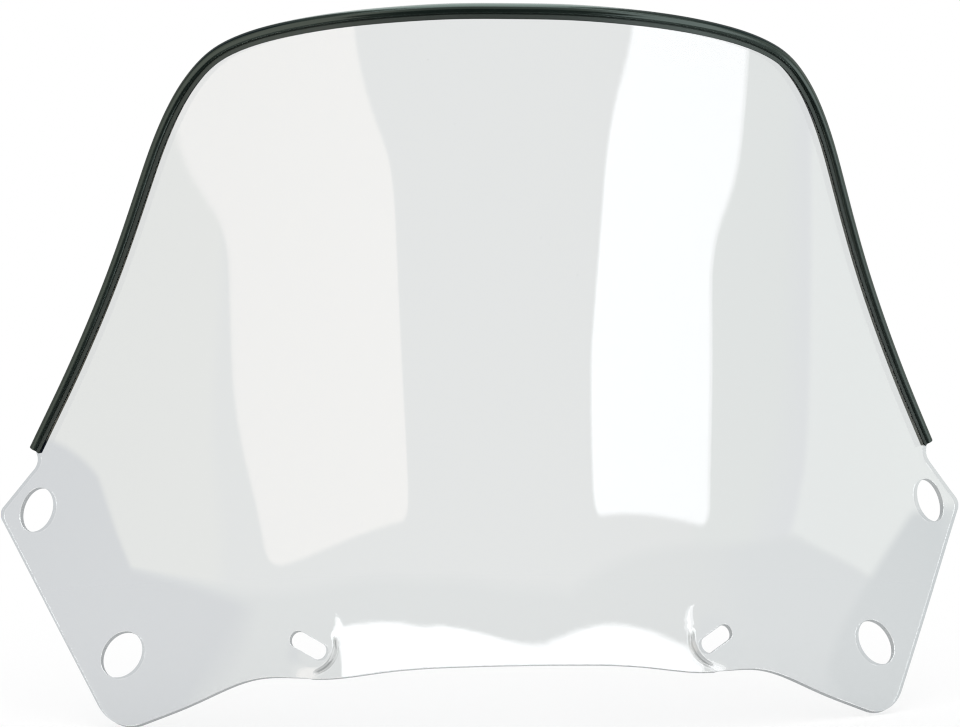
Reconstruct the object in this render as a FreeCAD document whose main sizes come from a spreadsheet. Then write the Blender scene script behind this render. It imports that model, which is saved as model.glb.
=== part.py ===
import FreeCAD, Part
import Sketcher
import math
import os
from FreeCAD import Vector, Rotation, Placement

# Clear moulded windshield screen with a slotted rubber edge moulding bonded along its crown.
# +Z is up, the outer (air) side faces -Y, and the part is mirrored about X = 0, with
# "left" at -X. The origin is under the middle of the part at the height of its lowest
# point. Millimetres.

os.makedirs("parts", exist_ok=True)
doc = FreeCAD.newDocument("windshield_screen_assembly")

# ---------------------------------------------------------------- sizes
# alias, value, note
SIZES = [
    ("sheet_thickness", 3.0, "polycarbonate sheet thickness"),
    ("post_hole_dia", 25.4, "round holes in the wings"),
    ("post_hole_upper_x", 256.85, "upper hole, half spacing"),
    ("post_hole_upper_z", 107.81, "upper hole, height"),
    ("post_hole_lower_x", 204.15, "lower hole, half spacing"),
    ("post_hole_lower_z", 35.61, "lower hole, height"),
    ("slot_length", 23.2, "slot over its round ends"),
    ("slot_width", 8.5, "slot width"),
    ("slot_x", 105.7, "slot middle, half spacing"),
    ("slot_z", 45.11, "slot middle, height"),
    ("slot_slope", 27.0, "slot runs down toward the middle by this angle, degrees"),
    ("seat_dia", 27.0, "round formed seat about each slot"),
    ("seat_shift", 3.0, "seat centre past the slot middle, down the slot"),
    ("seat_rise", 2.0, "step at the low end of the seat"),
    ("setback", 135.39, "moves the part back so its box is centred on Y = 0"),
    ("level_first", -11.39, "height of the first row of the bulge table"),
    ("level_pitch", 50.0, "height between rows of the bulge table"),
    ("station_pitch", 50.0, "sideways distance between columns of the bulge table"),
    ("trim_outward", 5.0, "moulding bead past the edge of the sheet"),
    ("trim_overlap", 3.1, "moulding lips over the sheet"),
    ("trim_bead_radius", 2.8, "radius of the moulding bead"),
    ("trim_bead_forward", 1.1, "bead centre ahead of mid thickness, toward the outer face"),
    ("trim_lip_half", 2.1, "half width over the lips"),
    ("trim_slot_play", 0.08, "gap between lip and sheet, each side"),
    ("trim_slot_past", 0.6, "channel floor past the edge of the sheet"),
    ("trim_notch_half", 1.88, "groove between bead and front lip, ahead of mid thickness"),
    ("bond_gap", 0.05, "gap between bond bead and sheet edge or channel floor"),
    ("bond_half", 1.4, "half width of the bond bead"),
    ("bond_setback", 3.0, "bond bead stops this far inside the moulding ends"),
    ("wing_tip_radius", 6.0, "outer corner of the wing"),
    ("wing_foot_radius", 20.0, "lower corner of the wing"),
]

# Forward bulge of the outer face: one list per sideways station, from the middle out,
# each from the lowest level up.
BULGE = [
    [236.97, 218.54, 202.85, 191.75, 186.15, 185.81, 189.69, 196.72, 206.06],
    [233.43, 214.47, 198.16, 186.70, 181.13, 180.99, 185.13, 192.45, 202.08],
    [220.42, 199.12, 181.50, 169.82, 164.63, 164.88, 169.58, 177.58, 187.65],
    [199.59, 174.17, 154.48, 142.65, 137.74, 138.02, 142.97, 151.34, 161.58],
    [175.60, 146.11, 122.89, 109.52, 104.08, 103.85, 108.17, 116.04, 126.04],
    [142.48, 113.06, 85.72, 68.65, 63.87, 64.52, 68.84, 76.20, 85.84],
    [102.69, 72.93, 43.52, 24.87, 20.12, 22.18, 27.50, 35.03, 44.61],
]

# Half outline of the sheet in front view: (sideways, height).
OUTLINE = {
    "crown": [
        (258.20, 140.22), (249.41, 157.39), (238.46, 178.55), (228.00, 199.97),
        (218.06, 221.67), (208.74, 243.62), (200.13, 265.75), (191.89, 287.83),
        (185.13, 305.15), (177.35, 321.58), (170.45, 332.95), (162.25, 342.97),
        (152.53, 350.97), (141.09, 356.06), (128.66, 359.37), (111.22, 362.28),
        (88.35, 364.73), (59.63, 366.54), (30.01, 367.65), (0.00, 367.78),
    ],
    "neck": [
        (258.20, 140.22), (257.30, 137.21), (257.20, 134.21), (258.40, 131.21),
        (260.90, 128.11), (264.00, 124.51), (268.00, 119.76),
    ],
    "tip": [(280.60, 104.81)],
    "foot": [(206.90, -3.09)],
    "hem": [
        (182.20, 6.81), (171.80, 11.06), (161.40, 15.76), (151.20, 20.66), (141.00, 25.11),
        (130.50, 28.11), (119.90, 29.16), (109.40, 29.11), (98.70, 29.26), (87.70, 30.41),
        (76.70, 32.11), (65.50, 33.81), (54.10, 35.01), (42.60, 35.81), (31.00, 36.21),
        (15.00, 36.56), (0.00, 36.63),
    ],
}
NECK_START = Vector(-0.10, 0, -1)  # direction of the right neck where it leaves the crown

FRONT_Y = -300.0      # plane ahead of the whole part, where the outline is drawn
THROUGH = 600.0       # reach from that plane to behind the whole part
STRIP_STATIONS = 81   # rail points along the crown for the moulding and the bond bead
GUIDE_OFFSET = 6.0    # second rail ahead of the first
MIRRORS = (("left", -1), ("right", 1))

entries = list(SIZES)
for i, column in enumerate(BULGE):
    for j, value in enumerate(column):
        note = "forward bulge, column %d row %d" % (i, j)
        entries.append(("bulge_col%d_row%d" % (i, j), value, note))
for name, points in OUTLINE.items():
    for k, (side_x, high_z) in enumerate(points):
        note = "%s outline point %d, " % (name, k)
        entries.append(("%s_pt%d_side" % (name, k), side_x, note + "sideways"))
        entries.append(("%s_pt%d_high" % (name, k), high_z, note + "height"))

sizes = doc.addObject("Spreadsheet::Sheet", "sizes")
for line_number, (alias, value, note) in enumerate(entries, 1):
    cell = "B%d" % line_number
    sizes.set("A%d" % line_number, note)
    sizes.set(cell, repr(float(value)))
    sizes.setAlias(cell, alias)
doc.recompute()


def size(alias):
    return float(sizes.get(alias))


def outline_points(name):
    return [(size("%s_pt%d_side" % (name, k)), size("%s_pt%d_high" % (name, k)))
            for k in range(len(OUTLINE[name]))]


thickness = size("sheet_thickness")


# ---------------------------------------------------------------- outer face of the sheet
def second_slopes(values, step):
    """Second slopes of the cubic spline through evenly spaced values.

    Each end pair of spans is one cubic.
    """
    count = len(values)
    target = [0.0] * count
    for i in range(1, count - 1):
        target[i] = (values[i - 1] - 2 * values[i] + values[i + 1]) / step ** 2
    slopes = target[:]
    for _ in range(60):  # enough passes to settle
        for i in range(2, count - 2):
            slopes[i] = 1.5 * (target[i] - (slopes[i - 1] + slopes[i + 1]) / 6)
    slopes[0] = 2 * slopes[1] - slopes[2]
    slopes[-1] = 2 * slopes[-2] - slopes[-3]
    return slopes


def knots_of(count):
    return [0] * 4 + list(range(2, count - 2)) + [count - 1] * 4


def poles_of(values, step):
    """B-spline poles of that spline; even steps keep the parameter in line with the stations."""
    count = len(values)
    slopes = second_slopes(values, step)
    knots = knots_of(count)
    scale = step * step / 6
    poles = []
    for i in range(count):
        # the blossom, at knots a, b, c, of the cubic that starts at station "span"
        span = min(knots[i + 2], count - 2)
        a, b, c = (knots[i + k] - span for k in (1, 2, 3))
        linear = (values[span + 1] - values[span]
                  - (2 * slopes[span] + slopes[span + 1]) * scale)
        square = 3 * slopes[span] * scale
        cubic = (slopes[span + 1] - slopes[span]) * scale
        poles.append(values[span] + linear * (a + b + c) / 3
                     + square * (a * b + a * c + b * c) / 3 + cubic * a * b * c)
    return poles


def pole_stations(knots, count):
    """Place of each pole, counted in steps of the table."""
    return [sum(knots[i + 1:i + 4]) / 3.0 for i in range(count)]


def make_outer_surface():
    last, rows = len(BULGE) - 1, len(BULGE[0])
    across = 2 * last + 1
    pitch, rise = size("station_pitch"), size("level_pitch")
    depth = [[size("setback") - size("bulge_col%d_row%d" % (abs(i), j)) for j in range(rows)]
             for i in range(-last, last + 1)]
    depth = [poles_of(line, rise) for line in depth]
    depth = [poles_of([line[j] for line in depth], pitch) for j in range(rows)]
    knots_x, knots_z = knots_of(across), knots_of(rows)
    pole_x = [(station - last) * pitch for station in pole_stations(knots_x, across)]
    pole_z = [size("level_first") + station * rise for station in pole_stations(knots_z, rows)]
    poles = [[Vector(pole_x[i], depth[j][i], pole_z[j]) for j in range(rows)]
             for i in range(across)]
    surface = Part.BSplineSurface()
    surface.buildFromPolesMultsKnots(
        poles, [4] + [1] * (across - 4) + [4], [4] + [1] * (rows - 4) + [4],
        [float(k) for k in sorted(set(knots_x))], [float(k) for k in sorted(set(knots_z))],
        False, False, 3, 3)
    return surface


outer_surface = make_outer_surface()
former = doc.addObject("Part::Feature", "former")
former.Label = "former"
former.Shape = outer_surface.toShape()
outer_face = former.Shape.Faces[0]


def skin(x, z):
    """Point on the outer face straight behind (x, z), and the outward normal there."""
    ray = Part.makeLine(Vector(x, FRONT_Y, z), Vector(x, FRONT_Y + THROUGH, z))
    point = outer_face.distToShape(ray)[1][0][0]
    return point, outer_surface.normal(*outer_surface.parameter(point))


# ---------------------------------------------------------------- front outline
def flat(points, sign=1):
    """Outline points in the front plane, on the -X side when sign is -1."""
    return [Vector(sign * x, FRONT_Y, z) for x, z in points]


def across_middle(points):
    """Half outline ending on X = 0, run from the left end to the right end."""
    return flat(points, -1) + flat(points[:-1][::-1])


def spline(points, **tangents):
    curve = Part.BSplineCurve()
    if tangents:
        curve.interpolate(Points=points, **tangents)
    else:
        curve.interpolate(points)
    return curve


def heading(start, end, sign=1):
    """Unit direction from start to end in front view, mirrored when sign is -1."""
    direction = Vector(sign * (end[0] - start[0]), 0, end[1] - start[1])
    direction.normalize()
    return direction


def corner(before, at, after, radius):
    """Start, middle and end of an arc that rounds the corner "at"."""
    back, onward = heading(at, before), heading(at, after)
    half = back.getAngle(onward) / 2
    inward = back + onward
    inward.normalize()
    vertex = Vector(at[0], 0, at[1])
    reach = radius / math.tan(half)
    start = vertex + back * reach
    middle = vertex + inward * (radius / math.sin(half) - radius)
    end = vertex + onward * reach
    return [(p.x, p.z) for p in (start, middle, end)]


crown_curve = spline(across_middle(outline_points("crown")))


def make_outline_wire():
    neck, hem = outline_points("neck"), outline_points("hem")
    tip, foot = outline_points("tip")[0], outline_points("foot")[0]
    tip_arc = corner(neck[-1], tip, foot, size("wing_tip_radius"))
    foot_arc = corner(tip, foot, hem[0], size("wing_foot_radius"))
    edges = [crown_curve.toShape()]
    for sign in (1, -1):
        neck_start = Vector(sign * NECK_START.x, 0, NECK_START.z)
        edges += [
            spline(flat(neck, sign), InitialTangent=neck_start,
                   FinalTangent=heading(neck[-1], tip, sign)).toShape(),
            Part.makeLine(*flat([neck[-1], tip_arc[0]], sign)),
            Part.Arc(*flat(tip_arc, sign)).toShape(),
            Part.makeLine(*flat([tip_arc[2], foot_arc[0]], sign)),
            Part.Arc(*flat(foot_arc, sign)).toShape(),
            Part.makeLine(*flat([foot_arc[2], hem[0]], sign)),
        ]
    edges.append(spline(across_middle(hem), InitialTangent=heading(foot, hem[0], -1),
                        FinalTangent=heading(hem[0], foot)).toShape())
    return Part.Wire(Part.__sortEdges__(edges))


outline = doc.addObject("Part::Feature", "outline")
outline.Label = "outline"
outline.Shape = Part.Face(make_outline_wire()).extrude(Vector(0, THROUGH, 0))


# ---------------------------------------------------------------- sheet blank
def combine(kind, name, base, tool):
    result = doc.addObject("Part::" + kind, name)
    result.Base, result.Tool = base, tool
    doc.recompute()
    return result


trimmed = combine("Common", "trimmed_face", former, outline)

# The face normal points outward, so a negative offset thickens the sheet behind the face.
blank = doc.addObject("Part::Offset", "sheet_blank")
blank.Source = trimmed
blank.Fill = True
blank.Join = 0
blank.setExpression("Value", "-sizes.sheet_thickness")
doc.recompute()


# ---------------------------------------------------------------- formed seats
def frame_at(origin, z_dir, x_dir):
    """Placement whose local Z is z_dir and whose local X is x_dir made square to it."""
    z_axis = Vector(z_dir)
    z_axis.normalize()
    x_axis = x_dir - z_axis * x_dir.dot(z_axis)
    x_axis.normalize()
    return Placement(origin, Rotation(x_axis, z_axis.cross(x_axis), z_axis, "ZXY"))


def inward_cylinder(name, diameter, height, top, normal, x_dir):
    """Cylinder from top, against the normal; diameter and height are expressions."""
    cylinder = doc.addObject("Part::Cylinder", name)
    cylinder.setExpression("Radius", diameter + " / 2")
    cylinder.setExpression("Height", height)
    cylinder.Placement = frame_at(top, normal * -1, x_dir)
    return cylinder


def through_cylinder(name, diameter, middle, normal, x_dir):
    """Cutter reaching well past both faces of the sheet."""
    return inward_cylinder(name, diameter, "sizes.sheet_thickness * 6",
                           middle + normal * (3 * thickness), normal, x_dir)


def seat_frame(sign):
    """Middle of the seat's outer face, its normal, and the direction down the slot."""
    slope = math.radians(size("slot_slope"))
    tilt = math.asin(size("seat_rise") / size("seat_dia"))
    middle, normal = skin(sign * size("slot_x"), size("slot_z"))
    run = Vector(-sign * math.cos(slope), 0, -math.sin(slope))
    run.y = -(run.x * normal.x + run.z * normal.z) / normal.y  # lay it in the face
    run.normalize()
    shifted = middle + run * size("seat_shift")
    centre, normal = skin(shifted.x, shifted.z)
    run = run - normal * run.dot(normal)
    run.normalize()
    seat_normal = normal * math.cos(tilt) - run * math.sin(tilt)
    along = run * math.cos(tilt) + normal * math.sin(tilt)
    seat_middle = centre + normal * (size("seat_dia") / 2 * math.sin(tilt))
    return seat_middle, seat_normal, along


# Each seat is a tilted disc set into an opening of its own diameter.
sheet = blank
seats = {}
for side, sign in MIRRORS:
    seats[side] = seat_frame(sign)
    opening = through_cylinder("seat_opening_" + side, "sizes.seat_dia", *seats[side])
    disc = inward_cylinder("seat_disc_" + side, "sizes.seat_dia", "sizes.sheet_thickness",
                           *seats[side])
    sheet = combine("Cut", "sheet_opened_" + side, sheet, opening)
    sheet = combine("Fuse", "sheet_seated_" + side, sheet, disc)


# ---------------------------------------------------------------- slots
def draw_slot(sketch):
    """Round-ended slot along X, centred on the sketch origin."""
    radius = size("slot_width") / 2
    half = size("slot_length") / 2 - radius
    quarter = math.pi / 2

    def end_arc(x, start):
        circle = Part.Circle(Vector(x, 0, 0), Vector(0, 0, 1), radius)
        return Part.ArcOfCircle(circle, start, start + 2 * quarter)

    top = Part.LineSegment(Vector(-half, radius, 0), Vector(half, radius, 0))
    bottom = Part.LineSegment(Vector(half, -radius, 0), Vector(-half, -radius, 0))
    for geometry in (top, end_arc(half, -quarter), bottom, end_arc(-half, quarter)):
        sketch.addGeometry(geometry, False)
    for ends in ((0, 2, 1, 2), (1, 1, 2, 1), (2, 2, 3, 2), (3, 1, 0, 1)):
        sketch.addConstraint(Sketcher.Constraint("Tangent", *ends))
    # arc centres either side of the sketch origin
    sketch.addConstraint(Sketcher.Constraint("Symmetric", 1, 3, 3, 3, -1, 1))
    sketch.addConstraint(Sketcher.Constraint("Horizontal", 0))
    spacing = sketch.addConstraint(Sketcher.Constraint("DistanceX", 3, 3, 1, 3, 2 * half))
    rounding = sketch.addConstraint(Sketcher.Constraint("Radius", 1, radius))
    sketch.setExpression("Constraints[%d]" % spacing, "sizes.slot_length - sizes.slot_width")
    sketch.setExpression("Constraints[%d]" % rounding, "sizes.slot_width / 2")


def make_slot_cutter(side):
    """Slot prism standing square to the seat face."""
    body = doc.addObject("PartDesign::Body", "slot_cutter_" + side)
    sketch = body.newObject("Sketcher::SketchObject", "slot_profile_" + side)
    plane = [f for f in body.Origin.OriginFeatures if f.Role == "XY_Plane"][0]
    sketch.AttachmentSupport = (plane, [""])
    sketch.MapMode = "FlatFace"
    draw_slot(sketch)
    pad = body.newObject("PartDesign::Pad", "slot_prism_" + side)
    pad.Profile = sketch
    pad.Midplane = True
    pad.setExpression("Length", "sizes.sheet_thickness * 8")
    body.Tip = pad
    seat_middle, seat_normal, along = seats[side]
    body.Placement = frame_at(seat_middle - along * size("seat_shift"), seat_normal, along)
    doc.recompute()
    return body


for side, _ in MIRRORS:
    sheet = combine("Cut", "sheet_slotted_" + side, sheet, make_slot_cutter(side))

# ---------------------------------------------------------------- post holes
for level in ("upper", "lower"):
    for side, sign in MIRRORS:
        middle, normal = skin(sign * size("post_hole_%s_x" % level),
                              size("post_hole_%s_z" % level))
        drill = through_cylinder("post_drill_%s_%s" % (level, side), "sizes.post_hole_dia",
                                 middle, normal, Vector(0, 0, 1))
        sheet = combine("Cut", "sheet_drilled_%s_%s" % (level, side), sheet, drill)
screen = sheet
screen.Label = "windshield_screen"


# ---------------------------------------------------------------- strips along the crown edge
def edge_frame(parameter):
    """Mid-thickness point on the crown edge, outward direction in the sheet, face normal."""
    flat_point = crown_curve.value(parameter)
    point, normal = skin(flat_point.x, flat_point.z)
    flat_run = crown_curve.tangent(parameter)[0]
    run = Vector(flat_run.x, -(flat_run.x * normal.x + flat_run.z * normal.z) / normal.y,
                 flat_run.z)
    run.normalize()
    outward = normal.cross(run)  # the crown runs from left to right
    outward.normalize()
    return point - normal * (thickness / 2), outward, normal


def strip(inset, make_profile):
    """Sweep of a closed profile along the crown edge, stopping inset short of each end.

    A second rail ahead of the first holds the profile upright to the outer face.
    """
    run_length = crown_curve.length() - 2 * inset
    frames = []
    for k in range(STRIP_STATIONS):
        distance = inset + run_length * k / (STRIP_STATIONS - 1)
        parameter = crown_curve.parameterAtDistance(distance, crown_curve.FirstParameter)
        frames.append(edge_frame(parameter))
    rail = spline([point for point, _, _ in frames])
    guide = spline([point + normal * GUIDE_OFFSET for point, _, normal in frames])
    start, outward, normal = frames[0]
    profile = make_profile(lambda out, ahead: start + outward * out + normal * ahead)
    sweep = Part.BRepOffsetAPI.MakePipeShell(Part.Wire(rail.toShape()))
    sweep.setAuxiliarySpine(Part.Wire(guide.toShape()), True, 0)
    sweep.add(profile, False, False)
    if not sweep.isReady():
        raise RuntimeError("sweep is not ready")
    sweep.build()
    sweep.makeSolid()
    return sweep.shape()


# Profile points are (outward from the sheet edge, ahead of mid thickness).
def trim_profile(place):
    """Round bead outside the edge, with two lips and a channel that take the sheet."""
    lip_round = 0.38          # rounding of the lip ends
    lip_cut = lip_round * 0.3  # arc middle in from the square corner
    notch_run = 0.45          # outward run of the slope from front lip to groove
    rear_run = 0.6            # rear lip ends this far inside the bead centre
    bead_turn = math.radians(78)  # bead arc past its outermost point, toward the rear
    bead, lip = size("trim_bead_radius"), size("trim_lip_half")
    top, ahead = size("trim_outward"), size("trim_bead_forward")
    notch, floor = size("trim_notch_half"), size("trim_slot_past")
    channel = thickness / 2 + size("trim_slot_play")
    low = -size("trim_overlap")
    centre = top - bead
    groove = centre - math.sqrt(bead * bead - (notch - ahead) ** 2)

    def on_bead(angle):
        return centre + bead * math.cos(angle), ahead - bead * math.sin(angle)

    # each piece starts where the last ended: one point for a line, two for an arc
    first = (low, channel)
    pieces = [
        [(low, lip - lip_round)],
        [(low + lip_cut, lip - lip_cut), (low + lip_round, lip)],
        [(groove - notch_run, lip)],
        [(groove, notch)],
        [(centre, ahead + bead), (top, ahead)],
        [on_bead(bead_turn / 2), on_bead(bead_turn)],
        [(centre - rear_run, -lip)],
        [(low + lip_round, -lip)],
        [(low + lip_cut, lip_cut - lip), (low, lip_round - lip)],
        [(low, -channel)],
        [(floor, -channel)],
        [(floor, channel)],
        [first],
    ]
    edges = []
    last = first
    for piece in pieces:
        points = [place(*point) for point in [last] + piece]
        if len(points) == 2:
            edges.append(Part.makeLine(*points))
        else:
            edges.append(Part.Arc(*points).toShape())
        last = piece[-1]
    return Part.Wire(edges)


def bond_profile(place):
    """Rectangle between the sheet edge and the channel floor."""
    near, half = size("bond_gap"), size("bond_half")
    far = size("trim_slot_past") - near
    corners = [place(*c) for c in ((near, -half), (far, -half), (far, half), (near, half))]
    return Part.Wire([Part.makeLine(corners[k], corners[(k + 1) % 4]) for k in range(4)])


def add_strip(label, inset, make_profile):
    feature = doc.addObject("Part::Feature", label)
    feature.Label = label
    feature.Shape = strip(inset, make_profile)
    return feature


trim = add_strip("edge_trim", 0.0, trim_profile)
bond = add_strip("trim_adhesive", size("bond_setback"), bond_profile)
doc.recompute()

# ---------------------------------------------------------------- checks and output
for obj in doc.Objects:
    bad = [state for state in obj.State if state in ("Invalid", "Error")]
    if bad:
        raise RuntimeError("%s is %s" % (obj.Name, bad))
for obj in (screen, trim, bond):
    shape = obj.Shape
    if shape.isNull() or not shape.isValid() or len(shape.Solids) != 1:
        raise RuntimeError("%s has no single valid solid" % obj.Label)
    solid = shape.Solids[0]
    if solid.Volume < 0:
        raise RuntimeError("%s is inside out" % obj.Label)
    solid.exportStep("parts/%s.step" % obj.Label)
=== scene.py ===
"""A clear windshield screen with a black edge moulding, standing on a pale floor.

X runs across the screen and is zero on its centre line, with left at negative X. -Y is the front,
toward the viewer, and Z is up. Sizes are in millimetres until build() turns them into metres.
"""
import math
from collections import namedtuple

import bmesh
import bpy
import numpy as np
from mathutils import Matrix, Vector
from mathutils.geometry import delaunay_2d_cdt


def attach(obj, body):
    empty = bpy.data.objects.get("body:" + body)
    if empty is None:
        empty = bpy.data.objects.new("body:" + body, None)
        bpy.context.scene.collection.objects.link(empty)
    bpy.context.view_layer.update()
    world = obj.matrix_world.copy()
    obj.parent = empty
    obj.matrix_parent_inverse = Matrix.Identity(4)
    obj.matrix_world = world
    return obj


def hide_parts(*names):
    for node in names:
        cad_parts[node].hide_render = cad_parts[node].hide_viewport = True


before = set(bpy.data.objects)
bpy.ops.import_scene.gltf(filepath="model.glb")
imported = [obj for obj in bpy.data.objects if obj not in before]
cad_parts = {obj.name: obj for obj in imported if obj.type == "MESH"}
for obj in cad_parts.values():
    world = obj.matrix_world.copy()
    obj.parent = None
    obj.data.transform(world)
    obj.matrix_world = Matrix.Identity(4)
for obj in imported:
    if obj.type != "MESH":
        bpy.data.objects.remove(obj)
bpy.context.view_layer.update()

MM = 0.001
LEFT, RIGHT = SIDES = (-1, 1)


def unit(v):
    return v / np.linalg.norm(v, axis=-1, keepdims=True)


def build(name, points_mm, faces):
    mesh = bpy.data.meshes.new(name)
    mesh.from_pydata([tuple(v) for v in np.asarray(points_mm) * MM], [], faces)
    mesh.update()
    obj = bpy.data.objects.new(name, mesh)
    bpy.context.scene.collection.objects.link(obj)
    return obj


def add_point_attribute(obj, name, values):
    attribute = obj.data.attributes.new(name, "FLOAT", "POINT")
    attribute.data.foreach_set("value", values.astype(np.float32))


# ------------------------------------------------------------------ outer face of the sheet
# How far the face stands forward of SETBACK. Rows: x = 0, 50 ... 300. Columns: z = Z0, Z0 + 50 ...
BULGE = np.array([
    [236.97, 218.54, 202.85, 191.75, 186.15, 185.81, 189.69, 196.72, 206.06],
    [233.43, 214.47, 198.16, 186.70, 181.13, 180.99, 185.13, 192.45, 202.08],
    [220.42, 199.12, 181.50, 169.82, 164.63, 164.88, 169.58, 177.58, 187.65],
    [199.59, 174.17, 154.48, 142.65, 137.74, 138.02, 142.97, 151.34, 161.58],
    [175.60, 146.11, 122.89, 109.52, 104.08, 103.85, 108.17, 116.04, 126.04],
    [142.48, 113.06, 85.72, 68.65, 63.87, 64.52, 68.84, 76.20, 85.84],
    [102.69, 72.93, 43.52, 24.87, 20.12, 22.18, 27.50, 35.03, 44.61],
])
SETBACK = 135.39
PITCH = 50.0
Z0 = -11.39
THICKNESS = 3.0
GRID = SETBACK - np.vstack([BULGE[:0:-1], BULGE])
COLUMNS, ROWS = GRID.shape
X0 = -(COLUMNS // 2) * PITCH


def bend_operator(n):
    """Matrix that turns n evenly spaced values into the second derivatives of their spline."""
    system, target = np.zeros((n, n)), np.zeros((n, n))
    for i in range(1, n - 1):
        system[i, i - 1:i + 2] = PITCH / 6, 2 * PITCH / 3, PITCH / 6
        target[i, i - 1:i + 2] = 1 / PITCH, -2 / PITCH, 1 / PITCH
    system[0, :3] = 1, -2, 1
    system[-1, -3:] = 1, -2, 1
    return np.linalg.solve(system, target)


BEND_X = bend_operator(COLUMNS) @ GRID
BEND_Z = (bend_operator(ROWS) @ GRID.T).T
BEND_XZ = (bend_operator(ROWS) @ BEND_X.T).T


def cell_value(low, high, bend_low, bend_high, part):
    rest = 1 - part
    bend = (rest**3 - rest) * bend_low + (part**3 - part) * bend_high
    return rest * low + part * high + bend * (PITCH * PITCH / 6)


def cell_slope(low, high, bend_low, bend_high, part):
    rest = 1 - part
    bend = (3 * part * part - 1) * bend_high - (3 * rest * rest - 1) * bend_low
    return (high - low) / PITCH + bend * PITCH / 6


def face_depth(x, z):
    """Y of the plain outer face at (x, z), and its slopes along x and z."""
    i = np.clip(((x - X0) // PITCH).astype(int), 0, COLUMNS - 2)
    j = np.clip(((z - Z0) // PITCH).astype(int), 0, ROWS - 2)
    part_x, part_z = (x - X0) / PITCH - i, (z - Z0) / PITCH - j

    def up(rule, column, values, bends):
        return rule(values[column, j], values[column, j + 1],
                    bends[column, j], bends[column, j + 1], part_z)

    def corners(rule):
        return [up(rule, column, values, bends)
                for values, bends in ((GRID, BEND_Z), (BEND_X, BEND_XZ))
                for column in (i, i + 1)]

    values = corners(cell_value)
    return (cell_value(*values, part_x), cell_slope(*values, part_x),
            cell_value(*corners(cell_slope), part_x))


def face_point(x, z):
    """Point on the plain outer face and its normal, which points to the front."""
    x, z = np.asarray(x, float), np.asarray(z, float)
    y, slope_x, slope_z = face_depth(x, z)
    normal = unit(np.stack([slope_x, -np.ones_like(y), slope_z], -1))
    return np.stack([x, y, z], -1), normal


# ------------------------------------------------------------------ formed seats round the slots
SEAT_D = 27.0
SEAT_SHIFT = 3.0  # seat centre from slot centre, down and toward the middle
SEAT_RISE = 2.0  # height of the seat's raised end
SEAT_TILT = math.asin(SEAT_RISE / SEAT_D)
SEAT_REACH = 75  # the face is left alone beyond this distance
SLOT_L, SLOT_W = 23.2, 8.5
SLOT_X, SLOT_Z = 105.7, 45.11
SLOT_SLOPE = math.radians(27)
WAVE_REACH = 9.0
# slow wave left by forming: place along and across the seat, height
WAVES = {LEFT: (8.0, -21.0, 0.12), RIGHT: (2.0, 20.0, 0.14)}

Seat = namedtuple("Seat", "centre axis along across")


def make_seat(side):
    slot_centre, normal = face_point(side * SLOT_X, SLOT_Z)
    run = np.array([-side * math.cos(SLOT_SLOPE), 0.0, -math.sin(SLOT_SLOPE)])
    run[1] = -(run[0] * normal[0] + run[2] * normal[2]) / normal[1]
    run = unit(run)
    centre = slot_centre + run * SEAT_SHIFT
    centre, normal = face_point(centre[0], centre[2])
    run = unit(run - normal * (run @ normal))
    axis = normal * math.cos(SEAT_TILT) - run * math.sin(SEAT_TILT)
    along = run * math.cos(SEAT_TILT) + normal * math.sin(SEAT_TILT)
    lifted = centre + normal * (SEAT_D / 2 * math.sin(SEAT_TILT))
    return Seat(lifted, axis, along, np.cross(axis, along))


seats = {side: make_seat(side) for side in SIDES}


def smooth(t):
    return t * t * (3 - 2 * t)


def from_axis(offset, axis):
    """Part of the offset that is square to the axis."""
    return offset - (offset @ axis)[..., None] * axis


def sheet_point(x, z):
    """Outer face with the seats and forming waves, and the plain face normal behind it."""
    point, normal = face_point(x, z)
    lift = np.zeros(point.shape[:-1])
    for side, seat in seats.items():
        offset = point - seat.centre
        near = np.linalg.norm(offset, axis=-1) < SEAT_REACH
        height = -(offset @ seat.axis) / (normal @ seat.axis)
        foot = offset + normal * height[..., None]
        radius = np.linalg.norm(from_axis(foot, seat.axis), axis=-1)
        facing = (foot @ seat.along) / np.maximum(radius, 1e-6)
        # the step is tight at the raised end and spreads wide at the low end
        spread = smooth(np.clip((0.80 - facing) / 1.0, 0, 1))
        inner, outer = 11.2 - 5.0 * spread, 13.7 + 10.0 * spread
        blend = 1 - smooth(np.clip((radius - inner) / (outer - inner), 0, 1))
        lift = lift + np.where(near, blend * height, 0)
        wave_along, wave_across, wave_height = WAVES[side]
        squared = (((offset @ seat.along) - wave_along) ** 2
                   + ((offset @ seat.across) - wave_across) ** 2)
        wave = wave_height * np.exp(-squared / (2 * (WAVE_REACH * 0.5) ** 2))
        lift = lift + np.where(near, wave, 0)
    return point + normal * lift[..., None], normal


def sheet_normal(x, z, step=0.05):
    change_x = sheet_point(x + step, z)[0] - sheet_point(x - step, z)[0]
    change_z = sheet_point(x, z + step)[0] - sheet_point(x, z - step)[0]
    return unit(np.cross(change_x, change_z))


# ------------------------------------------------------------------ outline in the front view
# Right half, as (x, z): top edge from the side corner up to the centre line
CROWN = np.array([
    (258.20, 140.22), (249.41, 157.39), (238.46, 178.55), (228.00, 199.97), (218.06, 221.67),
    (208.74, 243.62), (200.13, 265.75), (191.89, 287.83), (185.13, 305.15), (177.35, 321.58),
    (170.45, 332.95), (162.25, 342.97), (152.53, 350.97), (141.09, 356.06), (128.66, 359.37),
    (111.22, 362.28), (88.35, 364.73), (59.63, 366.54), (30.01, 367.65), (0.00, 367.78),
])
# from the side corner down toward the tip
NECK = np.array([
    (258.20, 140.22), (257.30, 137.21), (257.20, 134.21), (258.40, 131.21),
    (260.90, 128.11), (264.00, 124.51), (268.00, 119.76),
])
# sharp corners before rounding
TIP, FOOT = np.array((280.60, 104.81)), np.array((206.90, -3.09))
TIP_R, FOOT_R = 6.0, 20.0
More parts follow.
